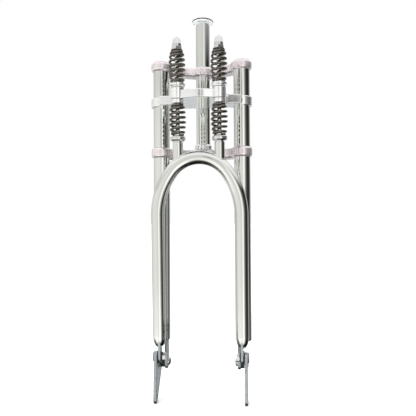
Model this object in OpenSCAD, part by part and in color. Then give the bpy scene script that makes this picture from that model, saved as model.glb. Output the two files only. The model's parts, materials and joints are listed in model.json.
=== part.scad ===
// Springer suspension fork for a bicycle: three crowns join a steerer tube and two rigid rear legs,
// and a leaning front hoop works four barrel springs through a perch and two rockers.
// Origin: steerer axis at the top face of the lower crown. +Z runs up the steerer, -Y is the front
// of the bicycle and +X is the rider's left.

/* [Steerer] */
// Outside diameter of the steerer tube
steerer_d = 28.6; // [28:0.1:29]
// Wall thickness of the steerer tube
steerer_wall = 2; // [1.5:0.1:2.5]
// Height of the steerer's top end
steerer_top = 264; // [250:1:300]
// Diameter of the top cap's flange
cap_flange_d = 44; // [36:1:50]

/* [Crowns] */
// Half the distance between the two rear legs
leg_x = 79.5; // [76:0.5:84]
// How far the rear legs stand ahead of the steerer axis
leg_forward = 40; // [36:1:44]
// Outside radius of the crown rings around the legs
ring_r = 20; // [19:0.5:21]
// Radius of the crown bosses around the steerer
boss_r = 22.5; // [20:0.5:24]
// Width of the curved band of a crown, front to back
band_w = 28; // [24:1:32]
// Thickness of the lower crown
lower_crown_h = 20; // [16:1:22]
// Height of the underside of the upper crown
upper_crown_z = 151; // [145:1:160]
// Thickness of the upper crown
upper_crown_h = 18; // [14:1:20]
// Height of the underside of the spring perch
perch_z = 81; // [78:1:84]
// Thickness of the spring perch
perch_h = 18; // [17:0.5:20]
// Thickness of the perch's tongue between the spring sleeves
tongue_h = 15.5; // [13:0.5:17]

/* [Rear legs] */
// Outside diameter of a rear leg
leg_d = 31.75; // [30:0.25:32]
// Wall thickness of a rear leg
leg_wall = 2; // [1.5:0.1:2.5]
// Height of the lower end of the rear legs
leg_bottom = -375; // [-380:1:-370]

/* [Front hoop] */
// Outside diameter of the hoop's tube
hoop_d = 25.4; // [24:0.1:26]
// Wall thickness of the hoop's tube
hoop_wall = 2; // [1.5:0.1:2.5]
// Half the distance between the two legs of the hoop
hoop_x = 77.5; // [75:0.5:80]
// How far the hoop leans forward at its top, in degrees
lean = 2.94; // [2.8:0.02:3.1]
// Height of the arch above the straight legs, on the tube's centreline
arch_rise = 106; // [100:1:112]
// Height of the arch's highest point on the centreline
arch_top = -27; // [-32:1:-24]

/* [Springs] */
// Half the distance between the spring rods
rod_x = 38.5; // [36:0.5:42]
// Diameter of a spring rod
rod_d = 8; // [7:0.5:9]
// Diameter of the spring wire
wire_d = 4.5; // [3.5:0.1:4.6]
// Outside diameter of a spring at its middle
spring_mid_d = 31.5; // [29:0.5:33]
// Outside diameter of a spring at its ends
spring_end_d = 23.5; // [23:0.5:25]
// Turns of a spring, with one closed turn at each end
spring_turns = 7; // [5:1:8]

/* [Rockers] */
// Distance of the front pivot ahead of the steerer axis
front_pivot_forward = 80; // [78:1:82]
// Height of the front pivot
front_pivot_z = -397.6; // [-399:0.2:-396]
// Height of the rear pivot
rear_pivot_z = -418; // [-420:1:-416]
// Distance of the wheel axle ahead of the steerer axis
axle_forward = 88; // [84:1:92]
// Height of the wheel axle
axle_z = -471; // [-475:1:-465]
// Diameter of the wheel axle's hole
axle_hole_d = 10; // [9:0.5:10.5]
// Radius of the rocker's three rounded corners
rocker_r = 10; // [9.5:0.5:10.5]
// Thickness of a rocker
rocker_t = 6; // [5:0.5:6]

/* [Hidden] */
$fn = 72;
left = 1;
right = -1;
cut = 1;

// Play of a running fit, and the gap left between faces that move past each other
running = 0.05;
gap = 0.3;

steerer_r = steerer_d / 2;
steerer_bore_r = steerer_r - steerer_wall;
steerer_edge = 1;
groove_z = upper_crown_z + upper_crown_h + 0.5;
groove_h = 1;
groove_depth = 0.4;
cap_neck_h = 0.5;
cap_flange_h = 4;
cap_neck_r = 10.5;
cap_plug_h = 28;
cap_plug_clear = 2;
seal_h = 1.2;
seal_edge = 0.4;
cap_edge = 0.8;
race_h = 11.6;
race_base_h = 3;
race_base_r = 18.5;
race_top_r = 15.3;
race_groove_z = 3.6;
race_groove_r = 17.5;

leg_r = leg_d / 2;
leg_bore_r = leg_r - leg_wall;
leg_y = -leg_forward;
leg_top = upper_crown_z + upper_crown_h;
plug_h = 4;
plug_recess = 0.5;
// The crowns' curved band follows one circle through the steerer axis and both legs
band_centre_r = (leg_x * leg_x + leg_forward * leg_forward) / (2 * leg_forward);
screw_r = 2.5;
screw_len = ring_r - leg_r;
screw_socket_r = 1.2;
screw_socket_depth = 1;

perch_rear_y = -34;
perch_front_y = -70;
tongue_x = 46;
tongue_front_y = -100;
nose_r = 88;
nose_front_y = -121;
sleeve_r = 12.7;

hoop_r = hoop_d / 2;
front_pivot_y = -front_pivot_forward;
lean_y = front_pivot_y + front_pivot_z * tan(lean);
front_pivot_u = front_pivot_z / cos(lean);
arch_base = arch_top - arch_rise;
// The arch is three tangent arcs: the side arcs end where the tube slopes 3 across to 4 up
arch_angle = atan2(3, 4);
arch_top_r = (3 * hoop_x - arch_rise) / 2;
arch_side_r = arch_top_r + 5 * (hoop_x - arch_top_r);
half_space = 400;
bullet_start = -357;
bullet_len = 24.5;
bullet_steps = 10;
bullet_plug = 3;
vent_r = 1.5;
vent_u = -340;
tab_out = 78.7;
tab_in = 74.3;
tab_r = 11;
tab_top_u = -366;
tab_hole_play = 0.8;

rod_r = rod_d / 2;
post_r = 9.5;
post_top = 1;
post_bottom = arch_top - arch_top_r + sqrt(arch_top_r * arch_top_r - rod_x * rod_x);
rod_bottom = -12;
rod_top = 187;
sleeve_mid = (perch_z + perch_h / 2) / cos(lean);
sleeve_half = perch_h / 2 + 1;
ball_r = 10;
collar_r = 8;
bush_half = sleeve_half + 0.6;
cup_spigot_r = spring_end_d / 2 - wire_d - 0.4;
cup_spigot_h = 4;
lower_seat_z = 12.5;
seat_neck_r = 8;
seat_neck_h = 2;
seat_r = 14.2;
seat_chamfer = 2.5;
lower_cup_h = 7.5;
lower_cup_r = 12;
upper_cup_h = 7.5;
upper_cup_r = 14.5;
spring_top_z = 168;
lower_spring_h = sleeve_mid - bush_half - lower_cup_h - lower_seat_z;
upper_spring_z = sleeve_mid + bush_half + upper_cup_h;
upper_spring_h = spring_top_z - upper_spring_z;
retainer_r = 11;
retainer_h = 2;
jam_nut_h = 5.5;
jam_nut_r = 10.2;
acorn_r = 8.5;
acorn_skirt_h = 5;
acorn_tip_r = 7;
acorn_h = 18.5;
wire_sides = 8;
rings_per_turn = 12;
closed_pitch = wire_d + 0.15;

rear_pivot_y = leg_y;
axle_y = -axle_forward;
rocker_in = 81;
rocker_out = rocker_in + rocker_t;
dropout_in = 68;
dropout_out = 74;
dropout_r = 10.5;
dropout_bottom = -432;
dropout_disc_h = 5;
rear_bolt_r = 5;
rocker_bush_r = 7;
front_bolt_r = 4;
front_head_r = 9.5;
front_head_h = 3;
front_nut_r = 7.5;
front_nut_h = 6;
rear_head_r = 9;
rear_head_h = 1.5;
rear_nut_r = 8;
rear_nut_h = 6;
rear_nut_dome_r = 10;
rear_nut_wall = 1.5;
spacer_r = 11.5;
washer_r = 12.8;
inner_washer_r = 8.5;
inner_washer_h = 2;

// A side is left or right; the drawing is made on +X
module on_side(side) {
    mirror([side == right ? 1 : 0, 0, 0]) children();
}

module both_sides() {
    on_side(left) children();
    on_side(right) children();
}

// Cylinder along Z between two heights
module post_z(r, low, high) {
    translate([0, 0, low]) cylinder(r = r, h = high - low);
}

// Cylinder along X through a pivot, between two distances from the middle plane
module pin_x(r, from, to, y, z) {
    translate([from, y, z]) rotate([0, 90, 0]) cylinder(r = r, h = to - from);
}

// The leaning frame of the hoop: its Z axis runs up the spring rods
module leaning() {
    translate([0, lean_y, 0]) rotate([lean, 0, 0]) children();
}

module at_rod(side) {
    leaning() translate([side * rod_x, 0, 0]) children();
}

module at_leg() {
    translate([leg_x, leg_y, 0]) children();
}

module steerer_tube() {
    color("gainsboro") difference() {
        union() {
            post_z(steerer_r, -lower_crown_h, steerer_top - steerer_edge);
            translate([0, 0, steerer_top - steerer_edge])
                cylinder(r1 = steerer_r, r2 = steerer_r - steerer_edge, h = steerer_edge);
        }
        post_z(steerer_bore_r, -lower_crown_h - cut, steerer_top + cut);
        difference() {
            post_z(steerer_r + cut, groove_z, groove_z + groove_h);
            post_z(steerer_r - groove_depth, groove_z - cut, groove_z + groove_h + cut);
        }
    }
}

module top_cap() {
    flange_z = steerer_top + cap_neck_h;
    color("dimgray") union() {
        post_z(steerer_bore_r - running, steerer_top - cap_plug_h, steerer_top - cap_plug_clear);
        post_z(cap_neck_r, steerer_top - cap_plug_clear, flange_z + seal_h);
        post_z(cap_flange_d / 2, flange_z + seal_h, flange_z + cap_flange_h - cap_edge);
        translate([0, 0, flange_z + cap_flange_h - cap_edge])
            cylinder(r1 = cap_flange_d / 2, r2 = cap_flange_d / 2 - cap_edge, h = cap_edge);
    }
}

// Pale sealing ring under the cap's flange
module cap_seal() {
    seal_z = steerer_top + cap_neck_h;
    color("white") difference() {
        post_z(cap_flange_d / 2 - seal_edge, seal_z, seal_z + seal_h);
        post_z(cap_neck_r, seal_z - cut, seal_z + seal_h + cut);
    }
}

module crown_race() {
    color("whitesmoke") difference() {
        union() {
            post_z(race_base_r, 0, race_base_h);
            translate([0, 0, race_base_h])
                cylinder(r1 = race_base_r, r2 = race_top_r, h = race_h - race_base_h);
        }
        post_z(steerer_r, -cut, race_h + cut);
        difference() {
            post_z(race_base_r + cut, race_groove_z, race_groove_z + groove_h);
            post_z(race_groove_r, race_groove_z - cut, race_groove_z + groove_h + cut);
        }
    }
}

// Hole for the set screw at the front of a leg ring
module screw_hole(z) {
    translate([leg_x, leg_y - ring_r - cut, z]) rotate([-90, 0, 0])
        cylinder(r = screw_r, h = ring_r - leg_r + 2 * cut, $fn = 36);
}

// One crown: a boss on the steerer, a ring on each leg and the curved band that joins them
module crown(z, h) {
    difference() {
        union() {
            post_z(boss_r, z, z + h);
            both_sides() at_leg() post_z(ring_r, z, z + h);
            intersection() {
                translate([0, -band_centre_r, 0]) difference() {
                    post_z(band_centre_r + band_w / 2, z, z + h);
                    post_z(band_centre_r - band_w / 2, z - cut, z + h + cut);
                }
                translate([-leg_x - ring_r, leg_y, z]) cube([2 * (leg_x + ring_r), leg_forward + boss_r, h]);
            }
        }
        post_z(steerer_r, z - cut, z + h + cut);
        both_sides() {
            at_leg() post_z(leg_r, z - cut, z + h + cut);
            screw_hole(z + h / 2);
        }
    }
}

module lower_crown() {
    color("lavenderblush") crown(-lower_crown_h, lower_crown_h);
}

module upper_crown() {
    color("lavenderblush") crown(upper_crown_z, upper_crown_h);
}

// Perch: leg rings, a cross bar behind, and a tongue that carries the two leaning spring sleeves
module spring_perch() {
    color("whitesmoke") difference() {
        union() {
            both_sides() {
                at_leg() post_z(ring_r, perch_z, perch_z + perch_h);
                at_rod(1) post_z(sleeve_r, sleeve_mid - sleeve_half, sleeve_mid + sleeve_half);
            }
            translate([-leg_x, perch_front_y, perch_z])
                cube([2 * leg_x, perch_rear_y - perch_front_y, perch_h]);
            translate([-tongue_x, tongue_front_y, perch_z])
                cube([2 * tongue_x, perch_front_y - tongue_front_y + cut, tongue_h]);
            intersection() {
                translate([-rod_x, nose_front_y, perch_z])
                    cube([2 * rod_x, tongue_front_y - nose_front_y, tongue_h]);
                translate([0, nose_front_y + nose_r, perch_z]) cylinder(r = nose_r, h = tongue_h);
            }
        }
        both_sides() {
            at_leg() post_z(leg_r, perch_z - cut, perch_z + perch_h + cut);
            screw_hole(perch_z + perch_h / 2);
            at_rod(1)
                post_z(ball_r + running, sleeve_mid - sleeve_half - cut, sleeve_mid + sleeve_half + cut);
        }
    }
}

module set_screw(z) {
    translate([leg_x, leg_y - leg_r, z]) rotate([90, 0, 0]) difference() {
        cylinder(r = screw_r, h = screw_len, $fn = 36);
        translate([0, 0, screw_len - screw_socket_depth])
            cylinder(r = screw_socket_r, h = screw_socket_depth + cut, $fn = 6);
    }
}

module set_screws() {
    color("dimgray") both_sides() {
        set_screw(-lower_crown_h / 2);
        set_screw(perch_z + perch_h / 2);
        set_screw(upper_crown_z + upper_crown_h / 2);
    }
}

module rear_leg(side) {
    color("silver") on_side(side) at_leg() difference() {
        post_z(leg_r, leg_bottom, leg_top);
        post_z(leg_bore_r, leg_bottom - cut, leg_top + cut);
    }
}

module leg_plugs() {
    color("dimgray") both_sides() at_leg()
        post_z(leg_bore_r, leg_top - plug_recess - plug_h, leg_top - plug_recess);
}

// Disc that closes the leg, and the plate below it that carries the rear pivot
module rear_dropout(side) {
    color("slategray") on_side(side) difference() {
        union() {
            at_leg() post_z(leg_bore_r, leg_bottom, leg_bottom + dropout_disc_h);
            translate([dropout_in, rear_pivot_y - dropout_r, dropout_bottom + dropout_r])
                cube([dropout_out - dropout_in, 2 * dropout_r, leg_bottom - dropout_bottom - dropout_r]);
            pin_x(dropout_r, dropout_in, dropout_out, rear_pivot_y, dropout_bottom + dropout_r);
        }
        pin_x(rear_bolt_r, dropout_in - cut, dropout_out + cut, rear_pivot_y, rear_pivot_z);
    }
}

// Ball that swivels in the perch's sleeve and guides the rod, with a collar above and below
module swivel_bush(side) {
    color("darkgoldenrod") at_rod(side) translate([0, 0, sleeve_mid]) difference() {
        union() {
            sphere(r = ball_r);
            post_z(collar_r, -bush_half, bush_half);
        }
        post_z(rod_r + running, -bush_half - cut, bush_half + cut);
    }
}

// Turned spring seat: a disc with a spigot that centres the spring
module seat(r, h, spigot_up) {
    edge = 1;
    difference() {
        union() {
            post_z(r, edge, h - edge);
            cylinder(r1 = r - edge, r2 = r, h = edge);
            translate([0, 0, h - edge]) cylinder(r1 = r, r2 = r - edge, h = edge);
            post_z(cup_spigot_r, spigot_up ? h / 2 : -cup_spigot_h, spigot_up ? h + cup_spigot_h : h / 2);
        }
        post_z(rod_r + running, -cup_spigot_h - cut, h + cup_spigot_h + cut);
    }
}

module upper_cup(side) {
    color("whitesmoke") at_rod(side) translate([0, 0, sleeve_mid + bush_half])
        seat(upper_cup_r, upper_cup_h, true);
}

module lower_cup(side) {
    color("whitesmoke") at_rod(side) translate([0, 0, sleeve_mid - bush_half - lower_cup_h])
        seat(lower_cup_r, lower_cup_h, false);
}

// Height of the wire's centre after a number of turns, for a spring of a given height
function coil_z(turn, height) =
    let (pitch = (height - wire_d - 2 * closed_pitch) / (spring_turns - 2))
    wire_d / 2 + min(turn, 1) * closed_pitch + max(0, min(turn - 1, spring_turns - 2)) * pitch
    + max(0, turn - spring_turns + 1) * closed_pitch;

// Radius of the coil's centreline: a barrel, narrow at both ends
function coil_r(turn) =
    let (end_r = (spring_end_d - wire_d) / 2, mid_r = (spring_mid_d - wire_d) / 2)
    end_r + (mid_r - end_r) * pow(sin(180 * turn / spring_turns), 0.7);

module coil_spring(height) {
    rings = spring_turns * rings_per_turn;
    points = [for (i = [0 : rings], s = [0 : wire_sides - 1])
        let (turn = i / rings_per_turn,
            around = 360 * s / wire_sides,
            r = coil_r(turn) + wire_d / 2 * cos(around),
            z = coil_z(turn, height) + wire_d / 2 * sin(around))
        [r * cos(360 * turn), r * sin(360 * turn), z]];
    sides = [for (i = [0 : rings - 1], s = [0 : wire_sides - 1])
        let (a = i * wire_sides + s, b = i * wire_sides + (s + 1) % wire_sides)
        [a, b, b + wire_sides, a + wire_sides]];
    first = [for (s = [wire_sides - 1 : -1 : 0]) s];
    last = [for (s = [0 : wire_sides - 1]) rings * wire_sides + s];
    polyhedron(points = points, faces = concat(sides, [first, last]));
}

module upper_spring(side) {
    color("dimgray") at_rod(side) translate([0, 0, upper_spring_z]) coil_spring(upper_spring_h);
}

module lower_spring(side) {
    color("dimgray") at_rod(side) translate([0, 0, lower_seat_z]) coil_spring(lower_spring_h);
}

// Ring of round bar in the XZ plane
module bar_ring(bend_r, r) {
    rotate([90, 0, 0]) rotate_extrude() translate([bend_r, 0]) circle(r = r);
}

// Everything above the line through the origin that slopes up to the right by an angle
module above(angle) {
    rotate([0, -angle, 0]) translate([-half_space, -half_space, 0]) cube(2 * half_space);
}

// Hoop as a solid bar of radius r: two straight legs down to a height, and the three arcs of the arch
module hoop_bar(r, bottom) {
    translate([0, 0, arch_top - arch_top_r]) intersection() {
        bar_ring(arch_top_r, r);
        above(arch_angle);
        above(-arch_angle);
    }
    both_sides() {
        translate([hoop_x - arch_side_r, 0, arch_base]) intersection() {
            bar_ring(arch_side_r, r);
            above(0);
            above(arch_angle - 180);
        }
        translate([hoop_x, 0, 0]) post_z(r, bottom, arch_base);
    }
}

// Pointed round end of a hoop leg, with a plug that closes the tube
module bullet() {
    translate([hoop_x, 0, bullet_start]) mirror([0, 0, 1]) rotate_extrude()
        polygon(concat([[0, -bullet_plug], [hoop_r, -bullet_plug]], [for (i = [0 : bullet_steps])
            let (a = 90 * i / bullet_steps)
            [i == bullet_steps ? 0 : hoop_r * pow(cos(a), 0.8), bullet_len * sin(a)]]));
}

// Flat plate that carries the front pivot, drawn in the leaning frame
module tab_plate() {
    translate([tab_in, -tab_r, front_pivot_u])
        cube([tab_out - tab_in, 2 * tab_r, tab_top_u - front_pivot_u]);
    pin_x(tab_r, tab_in, tab_out, 0, front_pivot_u);
}

module hoop() {
    color("silver") leaning() difference() {
        union() {
            hoop_bar(hoop_r, bullet_start + bullet_plug);
            both_sides() bullet();
        }
        hoop_bar(hoop_r - hoop_wall, bullet_start + bullet_plug);
        both_sides() {
            translate([hoop_x - hoop_r, 0, vent_u]) rotate([0, 90, 0])
                cylinder(r = vent_r, h = hoop_wall * 3, center = true, $fn = 24);
            tab_plate();
        }
    }
}

module hoop_tab(side) {
    color("slategray") leaning() on_side(side) difference() {
        tab_plate();
        pin_x(front_bolt_r + tab_hole_play, tab_in - cut, tab_out + cut, 0, front_pivot_u);
    }
}

// Post welded on the arch, with a threaded socket for the spring rod
module spring_post(side) {
    color("silver") leaning() difference() {
        translate([side * rod_x, 0, 0]) post_z(post_r, post_bottom, post_top);
        hoop_bar(hoop_r, bullet_start);
        translate([side * rod_x, 0, 0]) post_z(rod_r, rod_bottom, post_top + cut);
    }
}

module spring_rod(side) {
    color("gainsboro") at_rod(side) post_z(rod_r, rod_bottom, rod_top);
}

// Lower seat on top of the post: a narrow neck under a turned knob with bevelled edges
module spring_seat(side) {
    base = post_top + seat_neck_h;
    color("gainsboro") at_rod(side) difference() {
        union() {
            post_z(seat_neck_r, post_top, base);
            translate([0, 0, base]) cylinder(r1 = seat_r - seat_chamfer, r2 = seat_r, h = seat_chamfer);
            post_z(seat_r, base + seat_chamfer, lower_seat_z - seat_chamfer);
            translate([0, 0, lower_seat_z - seat_chamfer])
                cylinder(r1 = seat_r, r2 = seat_r - seat_chamfer, h = seat_chamfer);
            post_z(cup_spigot_r, lower_seat_z - seat_chamfer, lower_seat_z + cup_spigot_h);
        }
        post_z(rod_r, post_top - cut, lower_seat_z + cup_spigot_h + cut);
    }
}

module top_retainers() {
    color("dimgray") both_sides() at_rod(1) difference() {
        union() {
            post_z(retainer_r, spring_top_z, spring_top_z + retainer_h);
            post_z(cup_spigot_r, spring_top_z - cup_spigot_h, spring_top_z + retainer_h / 2);
        }
        post_z(rod_r, spring_top_z - cup_spigot_h - cut, spring_top_z + retainer_h + cut);
    }
}

module jam_nuts() {
    low = spring_top_z + retainer_h;
    color("gainsboro") both_sides() at_rod(1) difference() {
        translate([0, 0, low]) cylinder(r = jam_nut_r, h = jam_nut_h, $fn = 6);
        post_z(rod_r, low - cut, low + jam_nut_h + cut);
    }
}

// Acorn nut: a round skirt, a taper and a dome
module acorn_nuts() {
    low = spring_top_z + retainer_h + jam_nut_h;
    taper_z = low + acorn_skirt_h;
    dome_z = low + acorn_h - acorn_tip_r;
    color("gainsboro") both_sides() at_rod(1) difference() {
        union() {
            post_z(acorn_r, low, taper_z);
            translate([0, 0, taper_z]) cylinder(r1 = acorn_r, r2 = acorn_tip_r, h = dome_z - taper_z);
            intersection() {
                translate([0, 0, dome_z]) sphere(r = acorn_tip_r);
                post_z(acorn_tip_r + cut, dome_z, dome_z + acorn_tip_r + cut);
            }
        }
        post_z(rod_r, low - cut, rod_top);
    }
}

// Corner points of the rocker plate: each side of the triangle moved out by the corner radius
function rocker_side(a, b) =
    let (along = (b - a) / norm(b - a), out = [along[1], -along[0]] * rocker_r)
    [a + out, b + out];

module rocker(side) {
    front = [front_pivot_y, front_pivot_z];
    rear = [rear_pivot_y, rear_pivot_z];
    axle = [axle_y, axle_z];
    outline = concat(rocker_side(front, axle), rocker_side(axle, rear), rocker_side(rear, front));
    color("lightsteelblue") on_side(side) difference() {
        union() {
            translate([rocker_in, 0, 0]) rotate([90, 0, 90]) linear_extrude(rocker_t) polygon(outline);
            for (corner = [front, rear, axle])
                pin_x(rocker_r, rocker_in, rocker_out, corner[0], corner[1]);
        }
        pin_x(front_bolt_r, rocker_in - cut, rocker_out + cut, front_pivot_y, front_pivot_z);
        pin_x(rocker_bush_r, rocker_in - cut, rocker_out + cut, rear_pivot_y, rear_pivot_z);
        pin_x(axle_hole_d / 2, rocker_in - cut, rocker_out + cut, axle_y, axle_z);
    }
}

module rocker_bush(side) {
    color("darkgoldenrod") on_side(side) difference() {
        pin_x(rocker_bush_r, rocker_in, rocker_out, rear_pivot_y, rear_pivot_z);
        pin_x(rear_bolt_r + running, rocker_in - cut, rocker_out + cut, rear_pivot_y, rear_pivot_z);
    }
}

module rear_pivot_bolts() {
    color("silver") both_sides() {
        pin_x(rear_bolt_r, dropout_in - rear_nut_h + rear_nut_wall, rocker_out + gap,
            rear_pivot_y, rear_pivot_z);
        pin_x(rear_head_r, rocker_out + gap, rocker_out + gap + rear_head_h, rear_pivot_y, rear_pivot_z);
    }
}

// Domed nut on the inside of the dropout
module rear_pivot_nuts() {
    tip = dropout_in - rear_nut_h;
    color("gainsboro") both_sides() difference() {
        intersection() {
            translate([tip + rear_nut_dome_r, rear_pivot_y, rear_pivot_z]) sphere(r = rear_nut_dome_r);
            pin_x(rear_nut_r, tip - cut, dropout_in, rear_pivot_y, rear_pivot_z);
        }
        pin_x(rear_bolt_r, tip + rear_nut_wall, dropout_in + cut, rear_pivot_y, rear_pivot_z);
    }
}

module rear_spacer(side) {
    color("#222222") on_side(side) difference() {
        pin_x(spacer_r, dropout_out, rocker_in - gap, rear_pivot_y, rear_pivot_z);
        pin_x(rear_bolt_r, dropout_out - cut, rocker_in - gap + cut, rear_pivot_y, rear_pivot_z);
    }
}

module front_pivot_bolt(side) {
    nut_out = tab_in - gap - inner_washer_h;
    color("silver") on_side(side) {
        pin_x(front_bolt_r, nut_out - front_nut_h, rocker_out, front_pivot_y, front_pivot_z);
        pin_x(front_head_r, rocker_out, rocker_out + front_head_h, front_pivot_y, front_pivot_z);
    }
}

module front_nut(side) {
    nut_out = tab_in - gap - inner_washer_h;
    color("gainsboro") on_side(side) difference() {
        translate([nut_out - front_nut_h, front_pivot_y, front_pivot_z]) rotate([0, 90, 0])
            cylinder(r = front_nut_r, h = front_nut_h, $fn = 6);
        pin_x(front_bolt_r, nut_out - front_nut_h - cut, nut_out + cut, front_pivot_y, front_pivot_z);
    }
}

// Washer of radius r around the front pivot bolt
module pivot_washer(side, r, from, to) {
    on_side(side) difference() {
        pin_x(r, from, to, front_pivot_y, front_pivot_z);
        pin_x(front_bolt_r, from - cut, to + cut, front_pivot_y, front_pivot_z);
    }
}

module front_washer(side) {
    color("#222222") pivot_washer(side, washer_r, tab_out + gap, rocker_in);
}

module inner_washer(side) {
    color("#222222") pivot_washer(side, inner_washer_r, tab_in - gap - inner_washer_h, tab_in - gap);
}

steerer_tube();
top_cap();
cap_seal();
crown_race();
lower_crown();
upper_crown();
spring_perch();
set_screws();
rear_leg(left);  // rear_leg_left
rear_leg(right);  // rear_leg_right
leg_plugs();
rear_dropout(left);  // rear_dropout_left
rear_dropout(right);  // rear_dropout_right
swivel_bush(left);  // swivel_bush_left
swivel_bush(right);  // swivel_bush_right
upper_cup(left);  // upper_cup_left
upper_cup(right);  // upper_cup_right
lower_cup(left);  // lower_cup_left
lower_cup(right);  // lower_cup_right
upper_spring(left);  // upper_spring_left
upper_spring(right);  // upper_spring_right
lower_spring(left);  // lower_spring_left
lower_spring(right);  // lower_spring_right
hoop();
hoop_tab(left);  // hoop_tab_left
hoop_tab(right);  // hoop_tab_right
spring_post(left);  // post_left
spring_post(right);  // post_right
spring_rod(left);  // spring_rod_left
spring_rod(right);  // spring_rod_right
spring_seat(left);  // spring_seat_left
spring_seat(right);  // spring_seat_right
top_retainers();
jam_nuts();
acorn_nuts();
rocker(left);  // rocker_left
rocker(right);  // rocker_right
rocker_bush(left);  // rocker_bush_left
rocker_bush(right);  // rocker_bush_right
rear_pivot_bolts();
rear_pivot_nuts();
rear_spacer(left);  // rear_spacer_left
rear_spacer(right);  // rear_spacer_right
front_pivot_bolt(left);  // front_pivot_bolt_left
front_pivot_bolt(right);  // front_pivot_bolt_right
front_nut(left);  // front_nut_left
front_nut(right);  // front_nut_right
front_washer(left);  // front_washer_left
front_washer(right);  // front_washer_right
inner_washer(left);  // inner_washer_left
inner_washer(right);  // inner_washer_right
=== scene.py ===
"""Springer suspension fork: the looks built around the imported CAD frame."""
import json
import math

import bmesh
import bpy
from mathutils import Matrix, Vector
from mathutils.geometry import tessellate_polygon


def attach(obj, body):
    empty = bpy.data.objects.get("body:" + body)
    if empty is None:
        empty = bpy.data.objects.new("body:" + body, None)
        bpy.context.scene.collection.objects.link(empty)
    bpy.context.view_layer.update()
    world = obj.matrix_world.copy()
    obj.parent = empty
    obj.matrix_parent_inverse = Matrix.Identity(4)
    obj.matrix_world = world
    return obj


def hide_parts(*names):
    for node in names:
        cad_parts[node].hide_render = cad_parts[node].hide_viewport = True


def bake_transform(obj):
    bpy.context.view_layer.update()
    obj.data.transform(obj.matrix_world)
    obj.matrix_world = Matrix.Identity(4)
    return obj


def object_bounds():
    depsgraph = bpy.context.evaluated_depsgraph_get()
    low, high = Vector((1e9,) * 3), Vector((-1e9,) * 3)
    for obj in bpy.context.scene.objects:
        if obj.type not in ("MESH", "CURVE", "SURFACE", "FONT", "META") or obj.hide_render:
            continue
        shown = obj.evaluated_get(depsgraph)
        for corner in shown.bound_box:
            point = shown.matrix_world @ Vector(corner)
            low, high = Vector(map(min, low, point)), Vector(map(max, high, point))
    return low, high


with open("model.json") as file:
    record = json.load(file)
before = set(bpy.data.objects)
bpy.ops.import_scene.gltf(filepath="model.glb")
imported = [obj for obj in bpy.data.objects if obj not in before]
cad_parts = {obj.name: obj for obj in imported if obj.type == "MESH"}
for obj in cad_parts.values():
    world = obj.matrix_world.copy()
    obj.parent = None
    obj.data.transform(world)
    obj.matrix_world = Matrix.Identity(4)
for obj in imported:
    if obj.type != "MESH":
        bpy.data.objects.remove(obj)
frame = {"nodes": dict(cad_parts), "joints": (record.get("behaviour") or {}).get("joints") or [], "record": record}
cad_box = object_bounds()

# Lengths are in millimetres, and mesh_object() turns them into metres
MM = 0.001
# Points round a turned shape
AROUND = 96
SIDES = {"left": 1, "right": -1}
RECORD = frame["record"]
BODY = {node: body for body, nodes in RECORD["behaviour"]["bodies"].items() for node in nodes}
SLOT = {part["node"]: part["material_slot"] for part in RECORD["subparts"]}


# -------- camera, light and floor

# Where the camera stands, and its turn to the right, tilt up and roll, in degrees
CAMERA_PLACE = Vector((80, -916, -140))
CAMERA_TURN = -4.45
CAMERA_TILT = 1.37
CAMERA_ROLL = -0.36
CAMERA_LENS = 38.7
CAMERA_SENSOR = 36

# What the studio sends towards the fork: the walls' brightness by degrees from the front, towards the
# photograph's right, a factor by degrees above the horizon, and the dark stand round the camera, both ways
WALLS = (
    (-180, 0.5), (-150, 0.57), (-115, 0.66), (-60, 0.79), (-20, 0.78), (-6, 0.68), (8, 0.74), (14, 0.98),
    (30, 1.0), (42, 0.36), (60, 0.08), (80, 0.02), (110, 0.04), (124, 0.15), (138, 0.45), (180, 0.5),
)
HEIGHTS = (
    (-90, 0.08), (-66, 0.14), (-58, 0.35), (-46, 1.2), (-27, 1.5), (-14, 1.08), (0, 1.0), (9, 1.1),
    (14, 1.0), (18, 0.9), (25, 0.9), (47, 1.15), (68, 1.08), (90, 0.66),
)
STAND = ((-3.2, 0), (-2.7, 1), (1, 1), (1.6, 0), (4.6, 0), (5.2, 1), (7, 1), (7.6, 0))
STAND_HEIGHTS = ((7, 0), (9, 1), (17, 1), (18.5, 0))
STAND_DARKNESS = 0.85
# Limits of the mirrored direction: Z where the panels end upwards, and Z and Y of the dark ground
PANEL_TOP = (0.33, 0.52)
GROUND_DOWN = (-0.35, -0.52)
GROUND_BACK = (-0.38, -0.12)
GROUND_DARKNESS = 0.88
# Brightness above the panels' tops
UPPER_WALL = 0.85
# Tints of the walls, the cool one behind the fork, past this angle
BACK_WALL = 140
WARM = Vector((1, 1.005, 0.97))
COOL = Vector((0.955, 1, 1.01))
# Half the floor's width in metres
FLOOR_HALF = 30


def camera():
    """Camera at the photograph's viewing angle, with depth of field left off."""
    made = bpy.data.objects.new("camera", bpy.data.cameras.new("camera"))
    bpy.context.collection.objects.link(made)
    made.data.lens = CAMERA_LENS
    made.data.sensor_width = CAMERA_SENSOR
    made.data.clip_start = 0.01
    turn, tilt, roll = (math.radians(a) for a in (CAMERA_TURN, CAMERA_TILT, CAMERA_ROLL))
    facing = Matrix.Rotation(-turn, 4, "Z") @ Matrix.Rotation(math.pi / 2 + tilt, 4, "X")
    made.matrix_world = Matrix.Translation(CAMERA_PLACE * MM) @ facing @ Matrix.Rotation(roll, 4, "Z")
    bpy.context.scene.camera = made


def math_node(tree, operation, *values):
    """Math node, whose inputs are sockets or numbers."""
    made = tree.nodes.new("ShaderNodeMath")
    made.operation = operation
    for socket, value in zip(made.inputs, values):
        if isinstance(value, (int, float)):
            socket.default_value = value
        else:
            tree.links.new(value, socket)
    return made.outputs[0]


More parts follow.
